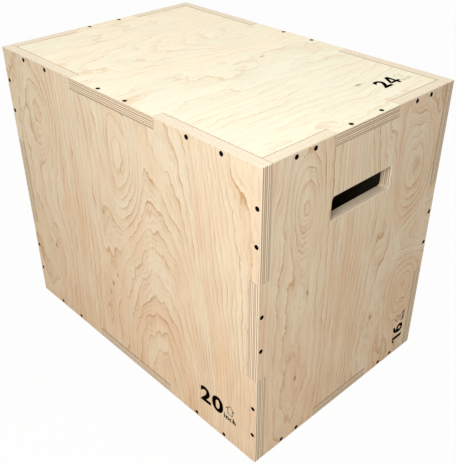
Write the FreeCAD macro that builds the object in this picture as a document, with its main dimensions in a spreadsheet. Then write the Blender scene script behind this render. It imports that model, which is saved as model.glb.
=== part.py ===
import FreeCAD, Part
import math
import os
import Sketcher
from FreeCAD import Vector

# Three-height jump box of birch plywood. Six panels lock together with a tab and a
# notch on each of the twelve edges, and countersunk wood screws hold every joint.
# It stands on its bottom panel: the origin is the middle of the base, +X points to
# the right end, +Y to the back and +Z up. Lengths are in millimetres.
doc = FreeCAD.newDocument("JumpBox")

# Driving dimensions
SIZES = (
    # the box outside, and the plywood that it is cut from
    ("box_length", 609.6),
    ("box_depth", 406.4),
    ("box_height", 508.0),
    ("panel_thickness", 18.0),
    # tabs, measured along the box's length, depth and height, and the play at each end
    ("length_tab", 203.2),
    ("depth_tab", 135.5),
    ("height_tab", 169.3),
    ("joint_gap", 0.15),
    ("edge_ease", 0.8),
    # hand slot in each end panel: its middle is this far below the top of the box
    ("handle_drop", 112.0),
    ("handle_length", 133.0),
    ("handle_height", 37.0),
    ("handle_radius", 5.5),
    ("handle_ease", 1.0),
    # wood screws, with the distance from each panel's edge to the line of screws
    ("screw_edge", 6.5),
    ("screw_head", 7.5),
    ("screw_shank", 4.0),
    ("screw_length", 40.0),
    # spacing of the two screws in each tab and in each finger beside a tab
    ("length_tab_pitch", 65.0),
    ("depth_tab_pitch", 65.0),
    ("height_tab_pitch", 60.0),
    ("length_finger_pitch", 65.0),
    ("depth_finger_pitch", 35.0),
    ("height_finger_pitch", 55.0),
)
sheet = doc.addObject("Spreadsheet::Sheet", "Sizes")
for row, (alias, length) in enumerate(SIZES, 1):
    sheet.set("A%d" % row, alias)
    sheet.set("B%d" % row, str(length))
    sheet.setAlias("B%d" % row, alias)
doc.recompute()

# A round screw is drawn with this many flats, under a head that tapers by this angle.
# Each finger or tab has two screws, and each notched edge has a finger on both sides.
SCREW_FLATS = 10
HEAD_ANGLE = 45
FINGER_SCREW_COUNT = 2
EDGE_FINGER_COUNT = 2

# Half sizes of the box, outside the panels and between them
HALF_LENGTH = "Sizes.box_length / 2"
HALF_DEPTH = "Sizes.box_depth / 2"
HALF_HEIGHT = "Sizes.box_height / 2"
INNER_LENGTH = "(Sizes.box_length / 2 - Sizes.panel_thickness)"
INNER_DEPTH = "(Sizes.box_depth / 2 - Sizes.panel_thickness)"
INNER_HEIGHT = "(Sizes.box_height / 2 - Sizes.panel_thickness)"

# Half lengths of the tabs, and of the notches that take them
LENGTH_TAB = "Sizes.length_tab / 2"
DEPTH_TAB = "Sizes.depth_tab / 2"
HEIGHT_TAB = "Sizes.height_tab / 2"
LENGTH_NOTCH = "(Sizes.length_tab / 2 + Sizes.joint_gap)"
DEPTH_NOTCH = "(Sizes.depth_tab / 2 + Sizes.joint_gap)"
HEIGHT_NOTCH = "(Sizes.height_tab / 2 + Sizes.joint_gap)"

# Each side of the box: the plane its sketches lie on, how far out its face is, the
# height of its middle, the way out of the box, and whether that is along the plane's normal
SIDES = {
    "front": ("XZ_Plane", HALF_DEPTH, HALF_HEIGHT, Vector(0, -1, 0), True),
    "back": ("XZ_Plane", "-" + HALF_DEPTH, HALF_HEIGHT, Vector(0, 1, 0), False),
    "right_end": ("YZ_Plane", HALF_LENGTH, HALF_HEIGHT, Vector(1, 0, 0), True),
    "left_end": ("YZ_Plane", "-" + HALF_LENGTH, HALF_HEIGHT, Vector(-1, 0, 0), False),
    "top": ("XY_Plane", "Sizes.box_height", "0", Vector(0, 0, 1), True),
    "bottom": ("XY_Plane", "0", "0", Vector(0, 0, -1), False),
}
QUADRANTS = ((1, 1), (-1, 1), (-1, -1), (1, -1))


# A sketch on one side's outer face, with its origin moved from the middle of that face
def face_sketch(body, name, side, across="0", up="0"):
    plane, out, rise, _, _ = SIDES[side]
    sketch = body.newObject("Sketcher::SketchObject", name)
    support = next(part for part in body.Origin.OriginFeatures if part.Role == plane)
    sketch.AttachmentSupport = [(support, "")]
    sketch.MapMode = "FlatFace"
    sketch.setExpression("AttachmentOffset.Base.x", across)
    sketch.setExpression("AttachmentOffset.Base.y", "%s + %s" % (rise, up))
    sketch.setExpression("AttachmentOffset.Base.z", out)
    return sketch


# Holds a straight sketch line level or upright, at a signed distance from the origin
def hold_line(sketch, line, upright, sign, distance):
    sketch.addConstraint(Sketcher.Constraint("Vertical" if upright else "Horizontal", line))
    kind = "DistanceX" if upright else "DistanceY"
    ends = (-1, 1, line, 1) if sign > 0 else (line, 1, -1, 1)
    place = sketch.addConstraint(Sketcher.Constraint(kind, *ends, sheet.evalExpression(distance)))
    sketch.setExpression("Constraints[%d]" % place, distance)


# A panel's outline: at each corner it reaches one pair of half sizes, and between the
# corners another, so that a larger middle makes tabs and a smaller one makes notches
def panel_outline(sketch, corner, middle, half_tab):
    quarter = (
        (middle[0], half_tab[1]),
        (corner[0], half_tab[1]),
        (corner[0], corner[1]),
        (half_tab[0], corner[1]),
        (half_tab[0], middle[1]),
    )
    corners = []
    for sign_u, sign_v in QUADRANTS:
        turn = quarter if sign_u == sign_v else reversed(quarter)
        corners += [(sign_u, u, sign_v, v) for u, v in turn]
    points = [
        Vector(sign_u * sheet.evalExpression(u), sign_v * sheet.evalExpression(v), 0)
        for sign_u, u, sign_v, v in corners
    ]
    lines = [
        sketch.addGeometry(Part.LineSegment(point, points[(k + 1) % len(points)]))
        for k, point in enumerate(points)
    ]
    for k, line in enumerate(lines):
        sign_u, u, sign_v, v = corners[k]
        upright = (sign_u, u) == corners[(k + 1) % len(corners)][:2]
        following = lines[(k + 1) % len(lines)]
        sketch.addConstraint(Sketcher.Constraint("Coincident", line, 2, following, 1))
        if upright:
            hold_line(sketch, line, upright, sign_u, u)
        else:
            hold_line(sketch, line, upright, sign_v, v)


# A slot's outline: a rectangle with round corners, about the sketch's origin
def slot_outline(sketch, half_length, half_height, radius):
    long = sheet.evalExpression(half_length)
    high = sheet.evalExpression(half_height)
    bend = sheet.evalExpression(radius)
    sides = []
    arcs = []
    for k, (sign_u, sign_v) in enumerate(QUADRANTS):
        centre = Vector(sign_u * (long - bend), sign_v * (high - bend), 0)
        start = k * math.pi / 2
        circle = Part.Circle(centre, Vector(0, 0, 1), bend)
        arcs.append(sketch.addGeometry(Part.ArcOfCircle(circle, start, start + math.pi / 2)))
        level = k % 2 == 0
        run = Vector(-sign_u * (long - bend), 0, 0) if level else Vector(0, -sign_v * (high - bend), 0)
        begin = centre + (Vector(0, sign_v * bend, 0) if level else Vector(sign_u * bend, 0, 0))
        sides.append(sketch.addGeometry(Part.LineSegment(begin, begin + run + run)))
    for k, (sign_u, sign_v) in enumerate(QUADRANTS):
        level = k % 2 == 0
        sketch.addConstraint(Sketcher.Constraint("Tangent", arcs[k], 2, sides[k], 1))
        sketch.addConstraint(Sketcher.Constraint("Tangent", sides[k], 2, arcs[(k + 1) % len(arcs)], 1))
        if level:
            hold_line(sketch, sides[k], False, sign_v, half_height)
        else:
            hold_line(sketch, sides[k], True, sign_u, half_length)
    for arc in arcs[1:]:
        sketch.addConstraint(Sketcher.Constraint("Equal", arcs[0], arc))
    size = sketch.addConstraint(Sketcher.Constraint("Radius", arcs[0], bend))
    sketch.setExpression("Constraints[%d]" % size, radius)


# A screw's section, a regular polygon whose corners lie on a circle about the origin
def round_outline(sketch, diameter):
    across = sheet.evalExpression(diameter)
    circle = sketch.addGeometry(Part.Circle(Vector(0, 0, 0), Vector(0, 0, 1), across / 2), True)
    turn = FreeCAD.Rotation(Vector(0, 0, 1), 360 / SCREW_FLATS)
    points = [Vector(across / 2, 0, 0)]
    for _ in range(SCREW_FLATS - 1):
        points.append(turn.multVec(points[-1]))
    flats = [
        sketch.addGeometry(Part.LineSegment(point, points[(k + 1) % SCREW_FLATS]))
        for k, point in enumerate(points)
    ]
    sketch.addConstraint(Sketcher.Constraint("Coincident", circle, 3, -1, 1))
    size = sketch.addConstraint(Sketcher.Constraint("Diameter", circle, across))
    sketch.setExpression("Constraints[%d]" % size, diameter)
    sketch.addConstraint(Sketcher.Constraint("PointOnObject", flats[0], 1, -1))
    for k, flat in enumerate(flats):
        following = flats[(k + 1) % SCREW_FLATS]
        sketch.addConstraint(Sketcher.Constraint("Coincident", flat, 2, following, 1))
        sketch.addConstraint(Sketcher.Constraint("PointOnObject", flat, 1, circle))
        if k:
            sketch.addConstraint(Sketcher.Constraint("Equal", flats[0], flat))


# Names of a feature's edges or faces that are the same as any of the given ones
def element_names(kind, all_elements, wanted):
    return [
        "%s%d" % (kind, k)
        for k, element in enumerate(all_elements, 1)
        if any(element.isSame(other) for other in wanted)
    ]


# The flat face of a shape that lies furthest along a direction
def end_face(shape, direction):
    return max(shape.Faces, key=lambda face: face.CenterOfMass.dot(direction))


# A panel as it is cut from the sheet: its outline padded inwards from the outer face,
# with that face's edges eased by sanding, and its own corners too where it has the box's
def panel_blank(side, corner, middle, half_tab, has_box_corners=False):
    _, _, _, outward, inward_is_reversed = SIDES[side]
    body = doc.addObject("PartDesign::Body", side + "_blank")
    outline = face_sketch(body, side + "_outline", side)
    panel_outline(outline, corner, middle, half_tab)
    board = body.newObject("PartDesign::Pad", side + "_board")
    board.Profile = outline
    board.Reversed = inward_is_reversed
    board.setExpression("Length", "Sizes.panel_thickness")
    doc.recompute()
    eased = body.newObject("PartDesign::Chamfer", side + "_eased_edges")
    arrises = list(end_face(board.Shape, outward).Edges)
    if has_box_corners:
        middle_point = board.Shape.BoundBox.Center
        by_reach = sorted(board.Shape.Edges, key=lambda edge: edge.CenterOfMass.distanceToPoint(middle_point))
        arrises += by_reach[-len(QUADRANTS):]
    eased.Base = (board, element_names("Edge", board.Shape.Edges, arrises))
    eased.setExpression("Size", "Sizes.edge_ease")
    doc.recompute()
    return body


# The hand slot, cut right through an end panel, with its rims eased on both faces
def cut_handle(body, side):
    _, _, _, outward, inward_is_reversed = SIDES[side]
    slot = face_sketch(body, side + "_slot", side, up=HALF_HEIGHT + " - Sizes.handle_drop")
    slot_outline(slot, "Sizes.handle_length / 2", "Sizes.handle_height / 2", "Sizes.handle_radius")
    whole = body.Shape.Volume
    handle = body.newObject("PartDesign::Pocket", side + "_handle")
    handle.Profile = slot
    handle.Reversed = not inward_is_reversed
    handle.Type = "ThroughAll"
    doc.recompute()
    if handle.Shape.Volume >= whole:
        raise RuntimeError("the hand slot cuts nothing")
    rims = []
    for face in (end_face(handle.Shape, outward), end_face(handle.Shape, -outward)):
        for wire in face.Wires:
            if not wire.isSame(face.OuterWire):
                rims += wire.Edges
    soft_rims = body.newObject("PartDesign::Chamfer", side + "_handle_rims")
    soft_rims.Base = (handle, element_names("Edge", handle.Shape.Edges, rims))
    soft_rims.setExpression("Size", "Sizes.handle_ease")
    doc.recompute()


# A row of wood screws driven into one side along one of its edges. The screws of a row
# are alike, so one is modelled and repeated along the edge: twice in each finger or tab,
# and again in the finger at the other end of the edge
def screw_row(node, side, level, edge_distance, pitch, finger_middle=None):
    _, _, _, outward, inward_is_reversed = SIDES[side]
    first = "-%s / 2" % pitch
    if finger_middle:
        first = "%s - %s" % (first, finger_middle)
    place = {"across": first, "up": edge_distance} if level else {"across": edge_distance, "up": first}
    body = doc.addObject("PartDesign::Body", node)
    body.AllowCompound = True
    rim = face_sketch(body, node + "_rim", side, **place)
    round_outline(rim, "Sizes.screw_head")
    head = body.newObject("PartDesign::Pad", node + "_head")
    head.Profile = rim
    head.Reversed = inward_is_reversed
    head.setExpression("Length", "(Sizes.screw_head - Sizes.screw_shank) / 2")
    doc.recompute()
    flush_face = end_face(head.Shape, outward)
    under_face = end_face(head.Shape, -outward)
    flats = [face for face in head.Shape.Faces if not face.isSame(flush_face) and not face.isSame(under_face)]
    taper = body.newObject("PartDesign::Draft", node + "_taper")
    taper.Base = (head, element_names("Face", head.Shape.Faces, flats))
    taper.NeutralPlane = (head, element_names("Face", head.Shape.Faces, [flush_face]))
    taper.Reversed = flush_face.Surface.Axis.dot(outward) > 0
    taper.Angle = HEAD_ANGLE
    doc.recompute()
    core = face_sketch(body, node + "_core", side, **place)
    round_outline(core, "Sizes.screw_shank")
    shank = body.newObject("PartDesign::Pad", node + "_shank")
    shank.Profile = core
    shank.Reversed = inward_is_reversed
    shank.setExpression("Length", "Sizes.screw_length")
    doc.recompute()
    row = body.newObject("PartDesign::LinearPattern", node + "_row")
    row.TransformMode = "Whole shape"
    row.Direction = (rim, ["H_Axis" if level else "V_Axis"])
    row.Occurrences = FINGER_SCREW_COUNT
    row.setExpression("Length", pitch)
    if finger_middle:
        row.Direction2 = (rim, ["H_Axis" if level else "V_Axis"])
        row.Occurrences2 = EDGE_FINGER_COUNT
        row.setExpression("Length2", "2 * " + finger_middle)
    body.Tip = row
    doc.recompute()
    return body


# The six panels before drilling. Front and back have the box's corners and are notched
# all round; the ends fit between them; top and bottom fit inside all four.
blanks = {}
for side in ("front", "back"):
    blanks[side] = panel_blank(
        side,
        corner=(HALF_LENGTH, HALF_HEIGHT),
        middle=(INNER_LENGTH, INNER_HEIGHT),
        half_tab=(LENGTH_NOTCH, HEIGHT_NOTCH),
        has_box_corners=True,
    )
for side in ("left_end", "right_end"):
    blanks[side] = panel_blank(
        side,
        corner=(INNER_DEPTH, HALF_HEIGHT),
        middle=(HALF_DEPTH, INNER_HEIGHT),
        half_tab=(DEPTH_NOTCH, HEIGHT_TAB),
    )
    cut_handle(blanks[side], side)
for side in ("top", "bottom"):
    blanks[side] = panel_blank(
        side,
        corner=(INNER_LENGTH, INNER_DEPTH),
        middle=(HALF_LENGTH, HALF_DEPTH),
        half_tab=(LENGTH_TAB, DEPTH_TAB),
    )

# Lines of screws near the edges, and the middles of the fingers beside each tab
LENGTH_LINE = "(%s - Sizes.screw_edge)" % HALF_LENGTH
DEPTH_LINE = "(%s - Sizes.screw_edge)" % HALF_DEPTH
HEIGHT_LINE = "(%s - Sizes.screw_edge)" % HALF_HEIGHT
LENGTH_FINGER = "((%s + %s) / 2)" % (HALF_LENGTH, LENGTH_TAB)
DEPTH_FINGER = "((%s + %s) / 2)" % (INNER_DEPTH, DEPTH_TAB)
HEIGHT_FINGER = "((%s + %s) / 2)" % (HALF_HEIGHT, HEIGHT_TAB)

# Every row of screws: the side it is driven into, the side whose edge it bites, and how
# it lies on the first of these
LOW_AND_HIGH = (("bottom", "-"), ("top", ""))
FRONT_AND_BACK = (("front", "-"), ("back", ""))
LEFT_AND_RIGHT = (("left_end", "-"), ("right_end", ""))
rows = []
for side in ("front", "back"):
    for mate, sign in LOW_AND_HIGH:
        rows.append((side, mate, True, sign + HEIGHT_LINE, "Sizes.length_finger_pitch", LENGTH_FINGER))
    for mate, sign in LEFT_AND_RIGHT:
        rows.append((side, mate, False, sign + LENGTH_LINE, "Sizes.height_finger_pitch", HEIGHT_FINGER))
for side in ("left_end", "right_end"):
    for mate, sign in LOW_AND_HIGH:
        rows.append((side, mate, True, sign + HEIGHT_LINE, "Sizes.depth_finger_pitch", DEPTH_FINGER))
    for mate, sign in FRONT_AND_BACK:
        rows.append((side, mate, False, sign + DEPTH_LINE, "Sizes.height_tab_pitch", None))
for side in ("top", "bottom"):
    for mate, sign in FRONT_AND_BACK:
        rows.append((side, mate, True, sign + DEPTH_LINE, "Sizes.length_tab_pitch", None))
    for mate, sign in LEFT_AND_RIGHT:
        rows.append((side, mate, False, sign + LENGTH_LINE, "Sizes.depth_tab_pitch", None))

screws = []
seats = {side: [] for side in SIDES}
for side, mate, level, edge_distance, pitch, finger_middle in rows:
    node = "%s_panel_screws_to_%s" % (side, mate)
    row = screw_row(node, side, level, edge_distance, pitch, finger_middle)
    screws.append(row)
    seats[side].append(row)
    seats[mate].append(row)

# Each finished panel is its blank, drilled and countersunk by the screws that it holds
panels = []
for side, blank in blanks.items():
    holes = doc.addObject("Part::Compound", side + "_screw_holes")
    holes.Links = seats[side]
    panel = doc.addObject("Part::Cut", side + "_panel")
    panel.Base = blank
    panel.Tool = holes
    panels.append(panel)
doc.recompute()

for item in doc.Objects:
    if "Invalid" in item.State or "Error" in item.State:
        raise RuntimeError("%s did not build" % item.Label)
nodes = panels + screws
for node in nodes:
    if node.Shape.isNull() or not node.Shape.isValid():
        raise RuntimeError("%s is not a valid solid" % node.Label)

os.makedirs("parts", exist_ok=True)
for node in nodes:
    node.Shape.exportStep("parts/%s.step" % node.Label)
print("%d nodes, %d solids" % (len(nodes), sum(len(node.Shape.Solids) for node in nodes)))
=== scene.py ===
import bpy
import math
from mathutils import Matrix, Vector


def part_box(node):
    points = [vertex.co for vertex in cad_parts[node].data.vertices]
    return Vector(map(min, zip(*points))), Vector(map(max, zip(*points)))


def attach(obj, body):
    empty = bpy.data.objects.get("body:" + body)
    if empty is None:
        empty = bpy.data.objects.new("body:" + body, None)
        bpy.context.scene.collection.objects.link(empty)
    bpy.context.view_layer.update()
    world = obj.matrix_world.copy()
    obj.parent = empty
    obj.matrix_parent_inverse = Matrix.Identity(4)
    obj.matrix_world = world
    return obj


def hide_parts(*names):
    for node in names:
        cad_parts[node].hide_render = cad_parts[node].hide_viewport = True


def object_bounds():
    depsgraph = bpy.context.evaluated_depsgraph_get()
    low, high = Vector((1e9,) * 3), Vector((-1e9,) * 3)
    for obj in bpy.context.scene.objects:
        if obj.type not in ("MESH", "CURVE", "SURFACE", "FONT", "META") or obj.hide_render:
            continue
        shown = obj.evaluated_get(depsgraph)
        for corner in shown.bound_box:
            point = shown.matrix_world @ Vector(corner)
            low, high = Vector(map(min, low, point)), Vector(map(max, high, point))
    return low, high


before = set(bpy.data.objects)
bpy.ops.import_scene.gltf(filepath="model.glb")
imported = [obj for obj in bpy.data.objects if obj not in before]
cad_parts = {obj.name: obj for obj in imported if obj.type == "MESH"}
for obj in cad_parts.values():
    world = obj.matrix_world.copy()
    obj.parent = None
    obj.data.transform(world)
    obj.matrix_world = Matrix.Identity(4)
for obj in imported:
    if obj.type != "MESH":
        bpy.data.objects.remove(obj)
cad_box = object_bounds()
bpy.ops.object.select_all(action="DESELECT")

# Front and back panels. Each is birch plywood, cut with a notch in the middle of every
# edge, and between them they hold the other four. The face veneer is peeled from the log
# in one long sheet, so its growth rings show as broad ovals, arches and wavy lines.
MM_PER_M = 1000
X_AXIS = Vector((1, 0, 0))
Y_AXIS = Vector((0, 1, 0))
Z_AXIS = Vector((0, 0, 1))
# The colours of a veneer: cream and rosy bands, and the line of each ring
WARM_VENEER = ((0.82, 0.705, 0.525), (0.795, 0.585, 0.395), (0.58, 0.345, 0.175))


# One maths node in a tree, fed with numbers or with other nodes' outputs
def calc(tree, operation, *values):
    node = tree.nodes.new("ShaderNodeMath")
    node.operation = operation
    for socket, value in zip(node.inputs, values):
        if isinstance(value, (int, float)):
            socket.default_value = value
        else:
            tree.links.new(value, socket)
    return node.outputs[0]


# A smooth step from 0 to 1 as a value goes from one limit to the other
def step(tree, value, limits):
    start, end = limits
    node = tree.nodes.new("ShaderNodeMapRange")
    node.interpolation_type = "SMOOTHSTEP"
    node.inputs["From Min"].default_value = start
    node.inputs["From Max"].default_value = end
    tree.links.new(value, node.inputs["Value"])
    return node.outputs["Result"]


# A mix of two colours, by a number or by another node's output. The mix node has its
# share, its two colours and their mix at these places among its sockets.
MIX_INPUTS = (0, 6, 7)
MIX_OUTPUT = 2


def mix(tree, share, first, second, blend="MIX"):
    node = tree.nodes.new("ShaderNodeMix")
    node.data_type = "RGBA"
    node.blend_type = blend
    for place, value in zip(MIX_INPUTS, (share, first, second)):
        socket = node.inputs[place]
        if isinstance(value, bpy.types.NodeSocket):
            tree.links.new(value, socket)
        elif isinstance(value, (int, float)):
            socket.default_value = value
        else:
            socket.default_value = (*value, 1)
    return node.outputs[MIX_OUTPUT]


# A colour made lighter or darker by a factor
def shaded(tree, color, factor):
    gray = tree.nodes.new("ShaderNodeCombineColor")
    for channel in gray.inputs[:3]:
        tree.links.new(factor, channel)
    return mix(tree, 1.0, color, gray.outputs[0], "MULTIPLY")


# Noise on a place that is stretched by three scales, as a value about zero
def noise(tree, place, scales, detail=2.0, roughness=0.5):
    stretch = tree.nodes.new("ShaderNodeMapping")
    stretch.inputs["Scale"].default_value = scales
    tree.links.new(place, stretch.inputs["Vector"])
    grain = tree.nodes.new("ShaderNodeTexNoise")
    grain.inputs["Scale"].default_value = 1
    grain.inputs["Detail"].default_value = detail
    grain.inputs["Roughness"].default_value = roughness
    tree.links.new(stretch.outputs["Vector"], grain.inputs["Vector"])
    return calc(tree, "SUBTRACT", grain.outputs["Fac"], 0.5)


# The three parts of a vector
def split(tree, vector):
    node = tree.nodes.new("ShaderNodeSeparateXYZ")
    tree.links.new(vector, node.inputs[0])
    return node.outputs


# A new shader node group with its named sockets, and its two end nodes
def new_group(name, inputs, outputs):
    tree = bpy.data.node_groups.new(name, "ShaderNodeTree")
    for label, kind in inputs:
        tree.interface.new_socket(label, in_out="INPUT", socket_type="NodeSocket" + kind)
    for label, kind in outputs:
        tree.interface.new_socket(label, in_out="OUTPUT", socket_type="NodeSocket" + kind)
    source = tree.nodes.new("NodeGroupInput").outputs
    target = tree.nodes.new("NodeGroupOutput").inputs
    return tree, source, target


# A hill or a hollow in the growth rings, long along the grain, its height counted in
# rings. Its top is flatter than a bell's, and its sides are steeper.
HILL_STEEP_SHARE = 0.4
hill_group, given, result = new_group(
    "ring_hill",
    [("Place", "Vector"), ("Across", "Float"), ("Along", "Float"), ("Half Width", "Float"),
     ("Half Length", "Float"), ("Rise", "Float"), ("Rings", "Float")],
    [("Rings", "Float")],
)
tree = hill_group
place = split(tree, given["Place"])
across = calc(tree, "SUBTRACT", place["X"], given["Across"])
across = calc(tree, "DIVIDE", across, given["Half Width"])
along = calc(tree, "SUBTRACT", place["Y"], given["Along"])
along = calc(tree, "DIVIDE", along, given["Half Length"])
across = calc(tree, "MULTIPLY", across, across)
steeper = calc(tree, "MULTIPLY_ADD", across, HILL_STEEP_SHARE, 1 - HILL_STEEP_SHARE)
across = calc(tree, "MULTIPLY", across, steeper)
reach = calc(tree, "MULTIPLY_ADD", along, along, across)
hill = calc(tree, "EXPONENT", calc(tree, "MULTIPLY", reach, -1.0))
tree.links.new(calc(tree, "MULTIPLY_ADD", hill, given["Rise"], given["Rings"]), result["Rings"])

# A pin knot: a small dark spot, longer along the grain
KNOT_STRETCH = 2.4
knot_group, given, result = new_group(
    "pin_knot",
    [("Place", "Vector"), ("Across", "Float"), ("Along", "Float"),
     ("Half Width", "Float"), ("Knots", "Float")],
    [("Knots", "Float")],
)
tree = knot_group
place = split(tree, given["Place"])
across = calc(tree, "SUBTRACT", place["X"], given["Across"])
across = calc(tree, "DIVIDE", across, given["Half Width"])
along = calc(tree, "SUBTRACT", place["Y"], given["Along"])
along = calc(tree, "DIVIDE", along, calc(tree, "MULTIPLY", given["Half Width"], KNOT_STRETCH))
reach = calc(tree, "MULTIPLY_ADD", across, across, calc(tree, "MULTIPLY", along, along))
spot = calc(tree, "EXPONENT", calc(tree, "MULTIPLY", reach, -1.0))
tree.links.new(calc(tree, "MAXIMUM", spot, given["Knots"]), result["Knots"])

# The peeled veneer: rings as thin brown lines with a sharp and a soft side, fainter lines
# between them, bands and clouds of colour, and the short fibres and pores of birch. A
# pattern is given by its waves to the millimetre across, along and into the sheet, and
# where it needs them by its detail and how rough that is.
BROAD_WAVE = ((0.008, 0.0028, 0), 1.0)
# The smaller waves of the rings, each with its detail and its height in rings
RING_WAVES = (
    ((0.028, 0.009, 0), 2.0, 1.7),
    ((0.06, 0.032, 0), 2.0, 0.75),
    ((0.35, 0.10, 0), 1.0, 0.15),
)
# A ring darkens slowly over most of its width, then quickly to its line, and ends sharply
RING_SHADE = (0.25, 0.97)
RING_LINE = (0.79, 0.94)
RING_END = (1.0, 0.965)
RING_SHADE_SHARE = 0.36
RING_LINE_SHARE = 0.54
RING_FADE = ((0.025, 0.010, 0),)
RING_FADE_CONTRAST = 3.4
RING_FADE_MIDDLE = 0.72
RING_BROWN_SHARE = 0.68
RING_DEPTH = 0.4
LINES_IN_RING = 3.0
FAINT_LINE = (0.35, 0.9)
FAINT_LINE_END = (1.0, 0.93)
FAINT_LINE_SHARE = 0.52
FAINT_PATCH = ((0.04, 0.012, 0),)
FAINT_PATCH_EDGE = (-0.15, 0.2)
BANDS_IN_RING = 0.4
CLOUD = ((0.012, 0.006, 0), 3.0)
TINT_CONTRAST = 1.4
TINT_MIDDLE = 0.69
TINT_ENDS = (0.0, 1.0)
STREAK = ((0.35, 0.012, 0),)
STREAK_SHADE = 0.22
FIBRE = ((1.1, 0.05, 0), 3.0, 0.6)
FIBRE_SHADE = 0.27
FIBRE_ROUGHNESS = 0.2
VENEER_ROUGHNESS = 0.72
PORE = ((2.2, 0.16, 0), 2.0, 0.6)
PORE_LIMIT = 0.17
PORE_SHADE = 0.07
PORE_DEPTH = 0.8
KNOT_BROWN = (0.16, 0.09, 0.05)
KNOT_SHARE = 0.8
veneer_group, given, result = new_group(
    "birch_veneer",
    [("Place", "Vector"), ("Rings", "Float"), ("Broad Waves", "Float"), ("Knots", "Float"),
     ("Rosy Drift", "Vector"), ("Cream Wood", "Color"), ("Rosy Wood", "Color"), ("Ring Brown", "Color")],
    [("Color", "Color"), ("Roughness", "Float"), ("Height", "Float")],
)
tree = veneer_group
place = given["Place"]
broad = noise(tree, place, *BROAD_WAVE)
rings = calc(tree, "MULTIPLY_ADD", broad, given["Broad Waves"], given["Rings"])
for waves, detail, rise in RING_WAVES:
    rings = calc(tree, "MULTIPLY_ADD", noise(tree, place, waves, detail), rise, rings)
within = calc(tree, "FRACT", rings)
sharp_side = step(tree, within, RING_END)
thin = calc(tree, "MULTIPLY", step(tree, within, RING_LINE), sharp_side)
soft = calc(tree, "MULTIPLY", step(tree, within, RING_SHADE), sharp_side)
soft = calc(tree, "MULTIPLY", soft, RING_SHADE_SHARE)
line = calc(tree, "MULTIPLY_ADD", thin, RING_LINE_SHARE, soft)
fade = calc(tree, "MULTIPLY_ADD", noise(tree, place, *RING_FADE), RING_FADE_CONTRAST, RING_FADE_MIDDLE)
line = calc(tree, "MAXIMUM", calc(tree, "MULTIPLY", line, fade), 0.0)
within = calc(tree, "FRACT", calc(tree, "MULTIPLY", rings, LINES_IN_RING))
faint = calc(tree, "MULTIPLY", step(tree, within, FAINT_LINE), step(tree, within, FAINT_LINE_END))
patch = step(tree, noise(tree, place, *FAINT_PATCH), FAINT_PATCH_EDGE)
line = calc(tree, "MULTIPLY_ADD", calc(tree, "MULTIPLY", faint, patch), FAINT_LINE_SHARE, line)
band = tree.nodes.new("ShaderNodeTexNoise")
band.noise_dimensions = "1D"
band.inputs["Scale"].default_value = BANDS_IN_RING
band.inputs["Detail"].default_value = 1.0
tree.links.new(rings, band.inputs["W"])
drift = tree.nodes.new("ShaderNodeVectorMath")
drift.operation = "DOT_PRODUCT"
tree.links.new(place, drift.inputs[0])
tree.links.new(given["Rosy Drift"], drift.inputs[1])
tint = calc(tree, "ADD", calc(tree, "SUBTRACT", band.outputs["Fac"], 0.5), noise(tree, place, *CLOUD))
tint = calc(tree, "MULTIPLY_ADD", tint, TINT_CONTRAST, TINT_MIDDLE)
tint = calc(tree, "ADD", tint, drift.outputs["Value"])
color = mix(tree, step(tree, tint, TINT_ENDS), given["Cream Wood"], given["Rosy Wood"])
color = mix(tree, calc(tree, "MULTIPLY", line, RING_BROWN_SHARE), color, given["Ring Brown"])
fibre = noise(tree, place, *FIBRE)
pore = calc(tree, "GREATER_THAN", noise(tree, place, *PORE), PORE_LIMIT)
shade = calc(tree, "MULTIPLY_ADD", fibre, FIBRE_SHADE, 1.0)
shade = calc(tree, "MULTIPLY_ADD", noise(tree, place, *STREAK), STREAK_SHADE, shade)
color = shaded(tree, color, calc(tree, "MULTIPLY_ADD", pore, -PORE_SHADE, shade))
color = mix(tree, calc(tree, "MULTIPLY", given["Knots"], KNOT_SHARE), color, KNOT_BROWN)
tree.links.new(color, result["Color"])
roughness = calc(tree, "MULTIPLY_ADD", fibre, FIBRE_ROUGHNESS, VENEER_ROUGHNESS)
tree.links.new(roughness, result["Roughness"])
height = calc(tree, "MULTIPLY_ADD", line, -RING_DEPTH, fibre)
tree.links.new(calc(tree, "MULTIPLY_ADD", pore, -PORE_DEPTH, height), result["Height"])

# The layers that show on a cut edge: the grain turns by a quarter from one to the next,
# so every second layer shows its end grain, which is darker, with glue lines between and
# a painted shadow of the joint beside the innermost. Painted light makes an edge paler.
PLY_COUNT = 11
SIDE_GRAIN = (0.93, 0.80, 0.61)
END_GRAIN = (0.555, 0.405, 0.265)
# The glue brown also paints the shadow in the joint
GLUE_AND_SHADOW_BROWN = (0.23, 0.125, 0.065)
# Painted light: the pale cream that up-facing and eased edges are mixed towards
PAINTED_LIGHT_CREAM = (0.92, 0.84, 0.66)
LAYER_SWAY = ((0.03, 0.03, 0),)
LAYER_SWAY_MM = 0.5
LAYER_TONE_SHADE = 0.38
EDGE_STREAK = ((0.35, 0.35, 1.5), 3.0, 0.6)
EDGE_STREAK_SHADE = 0.3
EDGE_SHADE = 0.76
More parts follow.
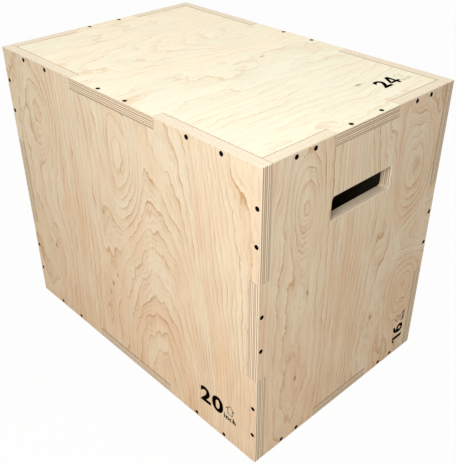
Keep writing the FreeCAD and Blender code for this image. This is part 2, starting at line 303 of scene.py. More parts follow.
# The glue line in shares of a layer, and the dark parts at both faces in layers, the inner one a painted
# shadow of the joint
GLUE_LINE = (0.14, 0.02)
JOINT_PAINTED_SHADOW = (PLY_COUNT - 0.8, PLY_COUNT - 0.3)
OUTER_DARK = (0.7, 0.2)
GLUE_AND_SHADOW_SHARE = 0.74
GLUE_LOST_TO_LIGHT = 0.3
layer_group, given, result = new_group(
    "ply_layers",
    [("Place", "Vector"), ("Facing", "Vector"), ("Ply", "Float"), ("Painted Light", "Float")],
    [("Color", "Color"), ("Height", "Float")],
)
tree = layer_group
place = split(tree, given["Place"])
facing = split(tree, given["Facing"])
sway = noise(tree, given["Place"], *LAYER_SWAY)
layer = calc(tree, "DIVIDE", calc(tree, "MULTIPLY_ADD", sway, LAYER_SWAY_MM, place["Z"]), given["Ply"])
level = calc(tree, "FLOOR", layer)
within = calc(tree, "FRACT", layer)
crossed = calc(tree, "FLOORED_MODULO", level, 2.0)
end_along = calc(tree, "MULTIPLY", facing["Y"], facing["Y"])
end_across = calc(tree, "MULTIPLY", facing["X"], facing["X"])
ends = calc(tree, "MULTIPLY_ADD", crossed, calc(tree, "SUBTRACT", end_across, end_along), end_along)
tone = tree.nodes.new("ShaderNodeTexWhiteNoise")
tone.noise_dimensions = "1D"
tree.links.new(level, tone.inputs["W"])
to_glue = calc(tree, "MINIMUM", within, calc(tree, "SUBTRACT", 1.0, within))
glue_and_shadow = step(tree, to_glue, GLUE_LINE)
streak = noise(tree, given["Place"], *EDGE_STREAK)
color = mix(tree, ends, SIDE_GRAIN, END_GRAIN)
shade = calc(tree, "MULTIPLY_ADD", streak, EDGE_STREAK_SHADE, EDGE_SHADE)
color = shaded(tree, color, calc(tree, "MULTIPLY_ADD", tone.outputs["Value"], LAYER_TONE_SHADE, shade))
# Painted light makes the edge paler, fades its glue lines and takes away its outer dark
color = mix(tree, given["Painted Light"], color, PAINTED_LIGHT_CREAM)
unlit = calc(tree, "SUBTRACT", 1.0, given["Painted Light"])
outermost = calc(tree, "MULTIPLY", step(tree, layer, OUTER_DARK), unlit)
# Painted shadow: the innermost layer darkens as if in the shade of the joint, and joins the glue lines
glue_and_shadow = calc(tree, "MAXIMUM", glue_and_shadow, step(tree, layer, JOINT_PAINTED_SHADOW))
glue_and_shadow = calc(tree, "MAXIMUM", glue_and_shadow, outermost)
glue_and_shadow_share = calc(tree, "MULTIPLY_ADD", given["Painted Light"], -GLUE_LOST_TO_LIGHT, GLUE_AND_SHADOW_SHARE)
color = mix(tree, calc(tree, "MULTIPLY", glue_and_shadow, glue_and_shadow_share), color, GLUE_AND_SHADOW_BROWN)
tree.links.new(color, result["Color"])
tree.links.new(calc(tree, "SUBTRACT", streak, glue_and_shadow), result["Height"])


# A chain of groups of one kind in a material, each with its own values, that add up
def chain(tree, group, place, value_names, rows, total):
    last = None
    for row in rows:
        node = tree.nodes.new("ShaderNodeGroup")
        node.node_tree = group
        tree.links.new(place, node.inputs["Place"])
        for name, value in zip(value_names, row):
            node.inputs[name].default_value = value
        if last:
            tree.links.new(last, node.inputs[total])
        last = node.outputs[total]
    return last


# A cut edge gets painted light where it faces up, most on the top of the box, and a
# painted highlight where its corner is eased. The face inside the box is darkened with painted shade.
# Most veneers are rosier below.
TOP_SKIN = 0.001
FACES_UP = (0.5, 0.9)
# Shares of painted light on edges that face up, more at the top, and of the painted highlight on eased
# corners
FACING_UP_LIGHT_SHARE = 0.3
TOP_LIGHT_SHARE = 0.25
EASED_SLOPE = (0.1, 0.4)
EASED_HIGHLIGHT_SHARE = 0.65
FACE_SLOPE = 0.9
# Painted shade: how much the face inside the box is darkened
INSIDE_PAINTED_SHADE_SHARE = 0.74
ROSY_BELOW = (0, -0.0009, 0)
WOOD_GLOSS = 0.12
WOOD_BUMP = 0.25
WOOD_BUMP_DEPTH = 0.0003


# The plywood of one panel. Its pattern is laid out in millimetres from one corner of its
# outer face: across the grain, along it, and into the sheet. The rosy drift says how much
# rosier the veneer gets with each millimetre in these directions.
def plywood(node, across, along, inward, veneer_colors, broad_waves, hills, knots=(),
            rosy_drift=ROSY_BELOW):
    low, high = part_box(node)
    corner = Vector([
        low[k] if (across + along + inward)[k] > 0 else high[k]
        for k in range(3)
    ])
    turned = Matrix((across, along, inward))
    flip = Matrix.Diagonal((turned.determinant(), 1, 1))
    turn = (turned @ flip).to_euler()
    thickness = abs((high - low).dot(inward)) * MM_PER_M

    material = bpy.data.materials.new(node + "_plywood")
    material.use_nodes = True
    tree = material.node_tree
    shader = tree.nodes["Principled BSDF"]
    source = tree.nodes.new("ShaderNodeTexCoord")
    lay = tree.nodes.new("ShaderNodeMapping")
    lay.inputs["Location"].default_value = turned @ corner * -MM_PER_M
    lay.inputs["Rotation"].default_value = turn
    lay.inputs["Scale"].default_value = (flip[0][0] * MM_PER_M, MM_PER_M, MM_PER_M)
    tree.links.new(source.outputs["Object"], lay.inputs["Vector"])
    place = lay.outputs["Vector"]
    face = tree.nodes.new("ShaderNodeMapping")
    face.vector_type = "VECTOR"
    face.inputs["Rotation"].default_value = turn
    face.inputs["Scale"].default_value = (flip[0][0], 1, 1)
    tree.links.new(source.outputs["Normal"], face.inputs["Vector"])
    facing = face.outputs["Vector"]

    hill_values = ("Across", "Along", "Half Width", "Half Length", "Rise")
    rings = chain(tree, hill_group, place, hill_values, hills, "Rings")
    spots = chain(tree, knot_group, place, ("Across", "Along", "Half Width"), knots, "Knots")
    veneer = tree.nodes.new("ShaderNodeGroup")
    veneer.node_tree = veneer_group
    tree.links.new(place, veneer.inputs["Place"])
    tree.links.new(rings, veneer.inputs["Rings"])
    if spots:
        tree.links.new(spots, veneer.inputs["Knots"])
    veneer.inputs["Broad Waves"].default_value = broad_waves
    veneer.inputs["Rosy Drift"].default_value = rosy_drift
    for name, value in zip(("Cream Wood", "Rosy Wood", "Ring Brown"), veneer_colors):
        veneer.inputs[name].default_value = (*value, 1)
    layers = tree.nodes.new("ShaderNodeGroup")
    layers.node_tree = layer_group
    tree.links.new(place, layers.inputs["Place"])
    tree.links.new(facing, layers.inputs["Facing"])
    layers.inputs["Ply"].default_value = thickness / PLY_COUNT
    height = split(tree, source.outputs["Object"])["Z"]
    # Painted light on edges that face up, most at the top, and a painted highlight on eased corners
    at_top = calc(tree, "GREATER_THAN", height, cad_box[1][2] - TOP_SKIN)
    faces_up = step(tree, split(tree, source.outputs["Normal"])["Z"], FACES_UP)
    painted_light = calc(tree, "MULTIPLY_ADD", at_top, TOP_LIGHT_SHARE, FACING_UP_LIGHT_SHARE)
    painted_light = calc(tree, "MULTIPLY", faces_up, painted_light)
    slope = calc(tree, "ABSOLUTE", split(tree, facing)["Z"])
    eased_highlight = calc(tree, "MULTIPLY", step(tree, slope, EASED_SLOPE), EASED_HIGHLIGHT_SHARE)
    tree.links.new(calc(tree, "MAXIMUM", painted_light, eased_highlight), layers.inputs["Painted Light"])

    is_face = calc(tree, "GREATER_THAN", slope, FACE_SLOPE)
    # Painted shade darkens the face inside the box
    is_reverse = calc(tree, "GREATER_THAN", split(tree, facing)["Z"], FACE_SLOPE)
    inside_shade = calc(tree, "MULTIPLY_ADD", is_reverse, -INSIDE_PAINTED_SHADE_SHARE, 1.0)
    color = shaded(tree, veneer.outputs["Color"], inside_shade)
    color = mix(tree, is_face, layers.outputs["Color"], color)
    tree.links.new(color, shader.inputs["Base Color"])
    tree.links.new(veneer.outputs["Roughness"], shader.inputs["Roughness"])
    shader.inputs["Specular IOR Level"].default_value = WOOD_GLOSS
    rise = calc(tree, "SUBTRACT", veneer.outputs["Height"], layers.outputs["Height"])
    rise = calc(tree, "MULTIPLY_ADD", is_face, rise, layers.outputs["Height"])
    bump = tree.nodes.new("ShaderNodeBump")
    bump.inputs["Strength"].default_value = WOOD_BUMP
    bump.inputs["Distance"].default_value = WOOD_BUMP_DEPTH
    tree.links.new(rise, bump.inputs["Height"])
    tree.links.new(bump.outputs["Normal"], shader.inputs["Normal"])
    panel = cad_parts[node]
    panel.data.materials.clear()
    panel.data.materials.append(material)


# Each hill or hollow has its place across and along, half its width and length, and its
# rise in rings. Each knot has its place and half its width.
plywood(
    "front_panel", X_AXIS, Z_AXIS, Y_AXIS, WARM_VENEER,
    broad_waves=3.0,
    hills=((40, 250, 170, 900, -16.5), (322, 405, 38, 100, 4.6), (412, -60, 130, 420, -12.5),
           (700, 250, 190, 1500, 13), (100, 425, 40, 60, -2), (90, 260, 45, 70, 1.5),
           (545, 540, 45, 170, 3)),
    knots=((79, 146, 2.4), (265, 157, 2.2), (281, 182, 1.6)),
)
plywood(
    "back_panel", -X_AXIS, Z_AXIS, -Y_AXIS, WARM_VENEER,
    broad_waves=4.0,
    hills=((180, 330, 42, 100, 6), (400, -180, 80, 480, 17), (520, 420, 40, 100, 6),
           (-90, 250, 160, 1200, -24)),
    knots=((350, 371, 2.4),),
)

# End panels. They are of the same plywood and fit between the front and the back, with a
# tab in each of their notches. A slot for a hand is cut through each, with its rims eased.
plywood(
    "right_end_panel", Y_AXIS, Z_AXIS, -X_AXIS, WARM_VENEER,
    broad_waves=3.0,
    hills=((80, 250, 120, 900, -15.5), (83, 427, 26, 60, -3), (331, 387, 40, 80, 5),
           (355, 150, 35, 65, 3.6), (380, 262, 60, 50, -3), (250, 330, 60, 80, -2)),
    knots=((83, 122, 2.4), (267, 136, 2.4), (98, 277, 1.8)),
)
plywood(
    "left_end_panel", -Y_AXIS, Z_AXIS, X_AXIS, WARM_VENEER,
    broad_waves=4.0,
    hills=((120, 330, 42, 100, 6), (300, 120, 45, 110, 6), (-60, 250, 260, 1200, -15),
           (480, 250, 150, 1200, -18)),
    knots=((210, 220, 2.4),),
)

# Top and bottom panels. They drop in last, with a tab in the notch of each of the four
# upright panels. The top's veneer is a paler copy of the others' colours, painted light for the strong
# light on the top, and rosier towards the left.
ROSY_LEFT = (-0.0012, 0.0003, 0)
# Painted light: paler, yellower copies of the veneer colours for the brightly lit top
LIT_TOP_VENEER = ((0.835, 0.795, 0.62), (0.895, 0.785, 0.59), (0.77, 0.62, 0.43))
plywood(
    "top_panel", X_AXIS, Y_AXIS, -Z_AXIS, LIT_TOP_VENEER,
    broad_waves=3.0,
    hills=((200, 480, 80, 330, 9), (660, 200, 190, 1500, -10)),
    knots=((524, 287, 2.4), (338, 278, 1.8)),
    rosy_drift=ROSY_LEFT,
)
plywood(
    "bottom_panel", -X_AXIS, Y_AXIS, Z_AXIS, WARM_VENEER,
    broad_waves=4.0,
    hills=((250, 200, 55, 130, 7), (480, 330, 45, 100, 6), (-60, 200, 200, 1200, -18),
           (740, 200, 280, 1500, -17)),
)

# Wood screws. Each is black phosphated steel with a flat head and a cross recess, and is
# driven flush through one panel into the edge of the next. One is modelled with its head
# at the origin and its point down, and copied to every place that a row has.
HEAD_RADIUS = 0.0038
HEAD_BEVEL = 0.00025
HEAD_PROUD = 0.00003
RECESS_RADIUS = 0.0021
RECESS_DEPTH = 0.0022
RECESS_TAPER_SHARE = 0.4
RECESS_WAIST_SHARE = 0.36
RECESS_WAIST_ANGLES = (25, 65)
SHANK_RADIUS = 0.0020
SHANK_LENGTH = 0.012
THREAD_ROOT_SHARE = 0.72
THREAD_PITCH = 0.002
THREAD_TURNS = 11
POINT_LENGTH = 0.004
SCREW_SIDES = 24
SCREW_TURN = math.radians(137.5)
SCREW_SMOOTH_ANGLE = math.radians(35)
SCREW_BLACK = (0.003, 0.0028, 0.0028)
SCREW_GREY = (0.007, 0.0065, 0.0065)
SCREW_MOTTLE = ((900, 900, 900), 3.0, 0.6)
SCREW_MOTTLE_EDGE = (-0.1, 0.25)
SCREW_ROUGHNESS = 0.55
SCREW_MOTTLE_ROUGHNESS = 0.3
SCREW_GLOSS = 0.003
SCREW_BUMP = 0.2
SCREW_BUMP_DEPTH = 0.0001
OUTWARD = {
    "front": -Y_AXIS, "back": Y_AXIS,
    "left_end": -X_AXIS, "right_end": X_AXIS,
    "top": Z_AXIS, "bottom": -Z_AXIS,
}


# Selects the points of a piece that pass a test, and leaves it in edit mode
def select_points(piece, wanted):
    bpy.ops.mesh.select_all(action="DESELECT")
    bpy.ops.object.mode_set(mode="OBJECT")
    for point in piece.data.vertices:
        point.select = wanted(point.co)
    bpy.ops.object.mode_set(mode="EDIT")


# Draws the selected edge or face out along the screw, and narrows or widens its end
def draw_out(drop, share=1.0):
    bpy.ops.mesh.extrude_region_move(TRANSFORM_OT_translate={"value": (0, 0, -drop)})
    bpy.ops.transform.resize(value=(share, share, 1), center_override=(0, 0, 0))


bpy.context.tool_settings.mesh_select_mode = (True, False, False)
bpy.ops.mesh.primitive_circle_add(vertices=SCREW_SIDES, radius=HEAD_RADIUS, fill_type="NGON")
screw = bpy.context.object
bpy.ops.object.mode_set(mode="EDIT")
bpy.ops.mesh.inset(thickness=HEAD_BEVEL)
bpy.ops.mesh.inset(thickness=HEAD_RADIUS - HEAD_BEVEL - RECESS_RADIUS)
recess_reach = RECESS_RADIUS + HEAD_BEVEL
waist_start, waist_end = RECESS_WAIST_ANGLES
select_points(
    screw,
    lambda co: co.length < recess_reach
    and waist_start < math.degrees(math.atan2(co.y, co.x)) % 90 < waist_end,
)
bpy.ops.transform.resize(value=(RECESS_WAIST_SHARE, RECESS_WAIST_SHARE, 1), center_override=(0, 0, 0))
select_points(screw, lambda co: co.length < recess_reach)
draw_out(RECESS_DEPTH, RECESS_TAPER_SHARE)
select_points(screw, lambda co: co.length > HEAD_RADIUS - HEAD_BEVEL / 2)
bpy.ops.transform.translate(value=(0, 0, -HEAD_BEVEL / 2))
draw_out(HEAD_RADIUS - SHANK_RADIUS, SHANK_RADIUS / HEAD_RADIUS)
draw_out(SHANK_LENGTH)
for _ in range(THREAD_TURNS):
    draw_out(THREAD_PITCH / 2, THREAD_ROOT_SHARE)
    draw_out(THREAD_PITCH / 2, 1 / THREAD_ROOT_SHARE)
draw_out(POINT_LENGTH)
bpy.ops.mesh.merge(type="CENTER")
bpy.ops.mesh.select_all(action="SELECT")
bpy.ops.mesh.normals_make_consistent(inside=False)
bpy.ops.object.mode_set(mode="OBJECT")
bpy.ops.object.shade_smooth_by_angle(angle=SCREW_SMOOTH_ANGLE)

material = bpy.data.materials.new("black_phosphate")
material.use_nodes = True
tree = material.node_tree
shader = tree.nodes["Principled BSDF"]
source = tree.nodes.new("ShaderNodeTexCoord")
mottle = noise(tree, source.outputs["Object"], *SCREW_MOTTLE)
color = mix(tree, step(tree, mottle, SCREW_MOTTLE_EDGE), SCREW_BLACK, SCREW_GREY)
tree.links.new(color, shader.inputs["Base Color"])
roughness = calc(tree, "MULTIPLY_ADD", mottle, SCREW_MOTTLE_ROUGHNESS, SCREW_ROUGHNESS)
tree.links.new(roughness, shader.inputs["Roughness"])
shader.inputs["Specular IOR Level"].default_value = SCREW_GLOSS
bump = tree.nodes.new("ShaderNodeBump")
bump.inputs["Strength"].default_value = SCREW_BUMP
bump.inputs["Distance"].default_value = SCREW_BUMP_DEPTH
tree.links.new(mottle, bump.inputs["Height"])
tree.links.new(bump.outputs["Normal"], shader.inputs["Normal"])
screw.data.materials.append(material)


# The middles of the heads in a row, found from the solid's points as groups along the row
def head_places(node, outward):
    points = [point.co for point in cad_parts[node].data.vertices]
    low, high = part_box(node)
    size = high - low
    run = max((k for k in range(3) if not outward[k]), key=lambda k: size[k])
    groups = []
    last = None
    for point in sorted(points, key=lambda point: point[run]):
        if last is None or point[run] - last > HEAD_RADIUS:
            groups.append([])
        groups[-1].append(point[run])
        last = point[run]
    surface = Vector([high[k] if outward[k] > 0 else low[k] for k in range(3)])
    middle = (low + high) / 2
    for group in groups:
        place = Vector([surface[k] if outward[k] else middle[k] for k in range(3)])
        place[run] = (group[0] + group[-1]) / 2
        yield place


driven = 0
for node in sorted(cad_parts):
    if "_screws_to_" not in node:
        continue
    side, mate = node.split("_panel_screws_to_")
    outward = OUTWARD[side]
    bpy.ops.object.select_all(action="DESELECT")
    for place in head_places(node, outward):
        copy = screw.copy()
        copy.data = screw.data.copy()
        bpy.context.scene.collection.objects.link(copy)
        upright = outward.to_track_quat("Z", "Y").to_matrix().to_4x4()
        turn = Matrix.Rotation(SCREW_TURN * driven, 4, "Z")
        copy.matrix_world = Matrix.Translation(place + outward * HEAD_PROUD) @ upright @ turn
        copy.select_set(True)
        bpy.context.view_layer.objects.active = copy
        driven += 1
    bpy.ops.object.transform_apply(location=True, rotation=True, scale=True)
    bpy.ops.object.join()
    row = bpy.context.object
    row.name = "%s_to_%s_screws" % (side, mate)
    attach(row, "root")
    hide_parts(node)
bpy.data.objects.remove(screw)

# Printed heights. Each of three faces carries the height in inches that the box has when
# that face is upright, with an arrow and the unit, in matt ink that lets the grain through.
# Sizes are in millimetres on the front, where the print is largest.
INK_THICKNESS = 0.1
INK_BLACK = (0.003, 0.0016, 0.001)
INK_BROWN = (0.008, 0.0045, 0.0025)
FINE_INK = (0.012, 0.006, 0.003)
FINE_INK_BROWN = (0.030, 0.015, 0.007)
FAINT_INK = (0.60, 0.52, 0.38)
FAINT_INK_BROWN = (0.68, 0.60, 0.45)
INK_WEAR = ((700, 700, 700), 3.0, 0.6)
INK_WEAR_EDGE = (-0.05, 0.3)
INK_ROUGHNESS = 0.65
INK_WEAR_ROUGHNESS = 0.3
MERGE_GAP = 0.001
ARC_STEP = 12
DIGIT_TOP = 33.0
LEFT_DIGIT_BOX = ((0, 0), (24.0, DIGIT_TOP))
RIGHT_DIGIT_BOX = ((27.0, 0), (52.5, DIGIT_TOP))
DIGIT_BOLDNESS = 0.035
ARROW_TIP = (68, 33.5)
ARROW_HALF_WIDTH = 10.5
ARROW_HEAD = 9.5
ARROW_STEM_HALF_WIDTH = 5.5
ARROW_FOOT = 13.5
ARROW_LINE = 1.3
# The letters of the unit, each from its left to its right, with bold strokes
UNIT_STROKE = 2.7
UNIT_LOW_TOP = 7.6
UNIT_HIGH_TOP = 10.8
UNIT_DOT_FOOT = 8.8
LETTER_I = (54.2, 56.9)
LETTER_N = (58.4, 65.2)
LETTER_C = (66.4, 72.4)
LETTER_H = (73.6, 80.4)
LETTER_C_MOUTH = 48
# Three digits have outlines of their own, because the plain letters lose them when bold:
# the flag of the one, the open middle of the four and the round bowl of the six
ONE_BAR = (7.2, 15.2)
ONE_FLAG_LEFT = -0.8
ONE_FLAG_TOP_SHARE = 0.93
ONE_FLAG_LOW_SHARE = 0.69
FOUR_BAR = (41.5, 48.0)
FOUR_CROSS_BAR = (6.5, 12.4)
FOUR_ENDS = (26.5, 53.0)
FOUR_SLANT_TOP = 39.5
FOUR_MIDDLE = (33.6, 24.0)
SIX_BOWL = (35.7, 11.6)
SIX_BOWL_RADII = (12.1, 11.6)
SIX_MIDDLE_RADII = (4.2, 4.4)
SIX_BACK = ((24.2, 18.0), (26.4, 25.4), (30.8, 31.2), (37.0, 34.4), (45.0, 35.2))
SIX_NECK = ((45.0, 28.4), (40.2, 27.6), (36.6, 25.2))
SIX_NECK_ANGLE = 104


# Matt ink, darker and lighter where the grain lets it in
def matt_ink(name, dark, light):
    ink = bpy.data.materials.new(name)
    ink.use_nodes = True
    tree = ink.node_tree
    shader = tree.nodes["Principled BSDF"]
    source = tree.nodes.new("ShaderNodeTexCoord")
    worn = noise(tree, source.outputs["Object"], *INK_WEAR)
    color = mix(tree, step(tree, worn, INK_WEAR_EDGE), dark, light)
    tree.links.new(color, shader.inputs["Base Color"])
    roughness = calc(tree, "MULTIPLY_ADD", worn, INK_WEAR_ROUGHNESS, INK_ROUGHNESS)
    tree.links.new(roughness, shader.inputs["Roughness"])
    shader.inputs["Specular IOR Level"].default_value = 0.0
    return ink


# A digit in bold plain letters that fills a box
def printed_digit(digit, box):
    bpy.ops.object.select_all(action="DESELECT")
    bpy.ops.object.text_add()
    text = bpy.context.object
    text.data.body = digit
    text.data.offset = DIGIT_BOLDNESS
    bpy.ops.object.convert(target="MESH")
    (left, low), (right, high) = box
    flat = [point.co for point in text.data.vertices]
    start = Vector((min(co.x for co in flat), min(co.y for co in flat), 0))
    end = Vector((max(co.x for co in flat), max(co.y for co in flat), 0))
    wide = (right - left) / (end.x - start.x)
    tall = (high - low) / (end.y - start.y)
    text.scale = (wide, tall, 1)
    text.location = (left - start.x * wide, low - start.y * tall, 0)
    bpy.ops.object.transform_apply(location=True, rotation=True, scale=True)
    return text


# A flat shape in ink, from its outline
def printed_shape(outline):
    bpy.ops.object.select_all(action="DESELECT")
    bpy.ops.mesh.primitive_circle_add(vertices=len(outline), fill_type="NGON")
    shape = bpy.context.object
    for point, (u, v) in zip(shape.data.vertices, outline):
        point.co = (u, v, 0)
    return shape


# The numeral one
def printed_one():
    left, right = ONE_BAR
    return [printed_shape([
        (left, 0), (right, 0), (right, DIGIT_TOP), (left, DIGIT_TOP),
        (ONE_FLAG_LEFT, DIGIT_TOP * ONE_FLAG_TOP_SHARE), (ONE_FLAG_LEFT, DIGIT_TOP * ONE_FLAG_LOW_SHARE),
        (left, DIGIT_TOP * ONE_FLAG_TOP_SHARE),
    ])]


# The numeral four, as two shapes that meet along its bar and leave its middle open
def printed_four():
    left, right = FOUR_BAR
    low, high = FOUR_CROSS_BAR
    start, end = FOUR_ENDS
    middle_left, middle_top = FOUR_MIDDLE
    slant = printed_shape([
        (left, DIGIT_TOP), (FOUR_SLANT_TOP, DIGIT_TOP), (start, high), (start, low),
        (left, low), (left, high), (middle_left, high), (left, middle_top),
    ])
    bar = printed_shape([
        (left, 0), (right, 0), (right, low), (end, low), (end, high), (right, high),
        (right, DIGIT_TOP), (left, DIGIT_TOP), (left, middle_top), (left, high), (left, low),
    ])
    return [slant, bar]


# Points along part of an oval, from one angle to another
def arc(middle, radii, start, end):
    count = 2 + round(abs(end - start) / ARC_STEP)
    angles = [math.radians(start + (end - start) * k / (count - 1)) for k in range(count)]
    return [(middle[0] + radii[0] * math.cos(a), middle[1] + radii[1] * math.sin(a)) for a in angles]


# The numeral six, as its left and right halves, which leave its middle open
def printed_six():
    left = arc(SIX_BOWL, SIX_BOWL_RADII, 270, 180) + [*SIX_BACK, *SIX_NECK]
    left += arc(SIX_BOWL, SIX_BOWL_RADII, SIX_NECK_ANGLE, 90) + arc(SIX_BOWL, SIX_MIDDLE_RADII, 90, 270)
    right = arc(SIX_BOWL, SIX_BOWL_RADII, -90, 90) + arc(SIX_BOWL, SIX_MIDDLE_RADII, 90, -90)
    return [printed_shape(left), printed_shape(right)]


# The two digits of a height
def printed_digits(tens, units):
    own = {"1": printed_one, "4": printed_four, "6": printed_six}
    pieces = []
    for digit, box in ((tens, LEFT_DIGIT_BOX), (units, RIGHT_DIGIT_BOX)):
        pieces += own[digit]() if digit in own else [printed_digit(digit, box)]
    return pieces


# An upright bar of a letter, or its dot
def printed_bar(ends, low, high):
    left, right = ends
    return printed_shape([(left, low), (right, low), (right, high), (left, high)])


# An n, or an h where its stem is taller than its arch
def printed_arch(ends, stem_top):
    left, right = ends
    reach = (right - left) / 2
    inner = reach - UNIT_STROKE
    middle = (left + reach, UNIT_LOW_TOP - reach)
    meeting = math.degrees(math.acos(-inner / reach))
    stem = [(left, 0), (left, stem_top), (left + UNIT_STROKE, stem_top)]
    over = arc(middle, (reach, reach), meeting, 0) + [(right, 0), (right - UNIT_STROKE, 0)]
    return printed_shape(stem + over + arc(middle, (inner, inner), 0, 180) + [(left + UNIT_STROKE, 0)])


# The unit, as its four letters and a dot
def printed_unit():
    left, right = LETTER_C
    middle = ((left + right) / 2, UNIT_LOW_TOP / 2)
    outer = ((right - left) / 2, UNIT_LOW_TOP / 2)
    inner = [max(reach - UNIT_STROKE, UNIT_STROKE / 4) for reach in outer]
    start, end = LETTER_C_MOUTH, 360 - LETTER_C_MOUTH
    letter_c = printed_shape(arc(middle, outer, start, end) + arc(middle, inner, end, start))
    return [
        printed_bar(LETTER_I, 0, UNIT_LOW_TOP), printed_bar(LETTER_I, UNIT_DOT_FOOT, UNIT_HIGH_TOP),
        printed_arch(LETTER_N, UNIT_LOW_TOP), letter_c, printed_arch(LETTER_H, UNIT_HIGH_TOP),
    ]


# An arrow in outline that points up
def printed_arrow():
    x, tip = ARROW_TIP
    shoulder = tip - ARROW_HEAD
    half = (
        (ARROW_HALF_WIDTH, shoulder),
        (ARROW_STEM_HALF_WIDTH, shoulder),
        (ARROW_STEM_HALF_WIDTH, ARROW_FOOT),
    )
    left = [(x - u, v) for u, v in half]
    right = [(x + u, v) for u, v in reversed(half)]
    arrow = printed_shape([(x, tip)] + left + right)
    bpy.ops.object.mode_set(mode="EDIT")
    bpy.ops.mesh.select_all(action="SELECT")
    bpy.ops.mesh.inset(thickness=ARROW_LINE)
    bpy.ops.mesh.delete(type="FACE")
    bpy.ops.object.mode_set(mode="OBJECT")
    return arrow


# One whole print, with its lower left corner at a place on a face
def printed_height(name, inches, corner, reading, up, size_share, thin_ink):
    thickness = INK_THICKNESS / size_share
    bold_pieces = printed_digits(*inches)
    fine_pieces = printed_unit() + [printed_arrow()]
    for pieces, color in ((bold_pieces, bold_ink), (fine_pieces, thin_ink)):
        for piece in pieces:
            piece.data.materials.append(color)
            piece.select_set(True)
    bpy.ops.object.join()
    number = bpy.context.object
    number.name = name
    bpy.ops.object.mode_set(mode="EDIT")
    bpy.ops.mesh.select_all(action="SELECT")
    bpy.ops.mesh.remove_doubles(threshold=MERGE_GAP)
    bpy.ops.mesh.normals_make_consistent(inside=False)
    bpy.ops.mesh.extrude_region_move(TRANSFORM_OT_translate={"value": (0, 0, thickness)})
    bpy.ops.mesh.select_all(action="SELECT")
    bpy.ops.mesh.normals_make_consistent(inside=False)
    bpy.ops.object.mode_set(mode="OBJECT")
    turned = Matrix((reading, up, reading.cross(up))).transposed().to_4x4()
    sunk = Matrix.Translation((0, 0, -thickness / 2))
    scaled = Matrix.Scale(size_share / MM_PER_M, 4)
    number.matrix_world = Matrix.Translation(corner) @ turned @ scaled @ sunk
    bpy.ops.object.transform_apply(location=True, rotation=True, scale=True)
    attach(number, "root")


# The arrow and the unit take less ink than the digits, and on the top they are worn to a
# trace. Each print is placed by its lower left corner as it is read: on the front from the
# left and the floor, on the right end from the front and the floor, and on the top from
# the left and the back.
low, high = cad_box
FRONT_PRINT = (0.487, 0.047)
RIGHT_PRINT = (0.3765, 0.026)
TOP_PRINT = (0.5595, 0.1005)
SMALL_PRINT_SHARE = 0.82
front_corner = Vector((low[0] + FRONT_PRINT[0], low[1], FRONT_PRINT[1]))
right_corner = Vector((high[0], low[1] + RIGHT_PRINT[0], RIGHT_PRINT[1]))
top_corner = Vector((low[0] + TOP_PRINT[0], high[1] - TOP_PRINT[1], high[2]))
bold_ink = matt_ink("printed_ink", INK_BLACK, INK_BROWN)
fine_ink = matt_ink("fine_ink", FINE_INK, FINE_INK_BROWN)
faint_ink = matt_ink("worn_ink", FAINT_INK, FAINT_INK_BROWN)
printed_height("height_print_20", "20", front_corner, X_AXIS, Z_AXIS, 1.0, fine_ink)
printed_height("height_print_16", "16", right_corner, Z_AXIS, -Y_AXIS, SMALL_PRINT_SHARE, fine_ink)
printed_height("height_print_24", "24", top_corner, Y_AXIS, -X_AXIS, SMALL_PRINT_SHARE, faint_ink)

# The studio: a white floor and backdrop, a broad soft light overhead, and a smaller one to
# the right of the front that makes the near corner the brightest
FLOOR_HALF_SIZE = 6.0
FLOOR_DROP = 0.0005
FLOOR_SAND = (0.62, 0.57, 0.50)
FLOOR_ROUGHNESS = 0.9
FLOOR_GLOW_SHARE = 0.97
WHITE = (1, 1, 1, 1)
WHITE_STRENGTH = 1.0
SKY_STRENGTH = 0.40
# Each lamp's name, place, size and power
LAMPS = (
    ("overhead_light", (-0.1, 0.05, 2.3), 1.8, 22),
    ("near_corner_light", (0.75, -1.09, 1.02), 0.7, 13.1),
)
LAMP_AIM = Vector((0.1, -0.1, 0.28))


# One where a ray comes from the camera, a mirror or glass
def is_seen(tree):
    ray = tree.nodes.new("ShaderNodeLightPath").outputs
    seen = calc(tree, "MAXIMUM", ray["Is Camera Ray"], ray["Is Glossy Ray"])
    return calc(tree, "MAXIMUM", seen, ray["Is Transmission Ray"])


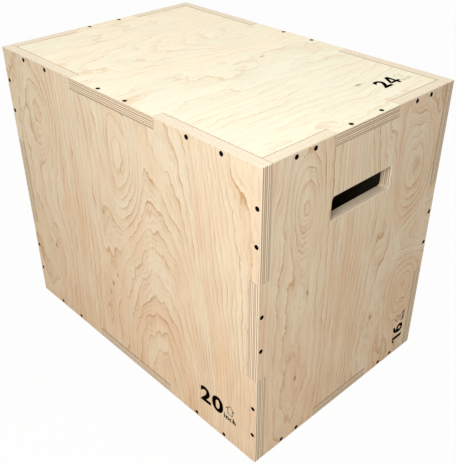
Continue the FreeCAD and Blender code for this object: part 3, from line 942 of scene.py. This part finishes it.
bpy.ops.object.select_all(action="DESELECT")
bpy.ops.mesh.primitive_plane_add(size=2 * FLOOR_HALF_SIZE, location=(0, 0, -FLOOR_DROP))
floor = bpy.context.object
floor.name = "studio_floor"
material = bpy.data.materials.new("studio_white")
material.use_nodes = True
tree = material.node_tree
shader = tree.nodes["Principled BSDF"]
shader.inputs["Base Color"].default_value = (*FLOOR_SAND, 1)
shader.inputs["Roughness"].default_value = FLOOR_ROUGHNESS
glow = tree.nodes.new("ShaderNodeEmission")
glow.inputs["Strength"].default_value = WHITE_STRENGTH
blend = tree.nodes.new("ShaderNodeMixShader")
tree.links.new(calc(tree, "MULTIPLY", is_seen(tree), FLOOR_GLOW_SHARE), blend.inputs["Fac"])
tree.links.new(shader.outputs[0], blend.inputs[1])
tree.links.new(glow.outputs[0], blend.inputs[2])
tree.links.new(blend.outputs[0], tree.nodes["Material Output"].inputs["Surface"])
floor.data.materials.append(material)

world = bpy.data.worlds.new("studio_backdrop")
bpy.context.scene.world = world
world.use_nodes = True
tree = world.node_tree
soft = tree.nodes["Background"]
soft.inputs["Color"].default_value = WHITE
soft.inputs["Strength"].default_value = SKY_STRENGTH
white = tree.nodes.new("ShaderNodeBackground")
white.inputs["Color"].default_value = WHITE
white.inputs["Strength"].default_value = WHITE_STRENGTH
blend = tree.nodes.new("ShaderNodeMixShader")
tree.links.new(is_seen(tree), blend.inputs["Fac"])
tree.links.new(soft.outputs[0], blend.inputs[1])
tree.links.new(white.outputs[0], blend.inputs[2])
tree.links.new(blend.outputs[0], tree.nodes["World Output"].inputs["Surface"])

for name, place, size, power in LAMPS:
    light = bpy.data.lights.new(name, "AREA")
    light.size = size
    light.energy = power
    lamp = bpy.data.objects.new(name, light)
    lamp.location = place
    lamp.rotation_euler = (LAMP_AIM - Vector(place)).to_track_quat("-Z", "Y").to_euler()
    bpy.context.scene.collection.objects.link(lamp)
bpy.context.scene.view_settings.view_transform = "Standard"

# The camera stands to the right of the front, above the box, and looks down at its near corner
CAMERA_PLACE = (0.7908, -0.7143, 0.8745)
CAMERA_TURN = (57.213, 0.200, 46.635)
CAMERA_LENS = 53.705
CAMERA_SENSOR = 36.0
CAMERA_NEAREST = 0.01
view = bpy.data.cameras.new("camera")
view.sensor_fit = "VERTICAL"
view.sensor_height = CAMERA_SENSOR
view.lens = CAMERA_LENS
view.clip_start = CAMERA_NEAREST
camera = bpy.data.objects.new("camera", view)
camera.location = CAMERA_PLACE
camera.rotation_euler = [math.radians(angle) for angle in CAMERA_TURN]
bpy.context.scene.collection.objects.link(camera)
bpy.context.scene.camera = camera
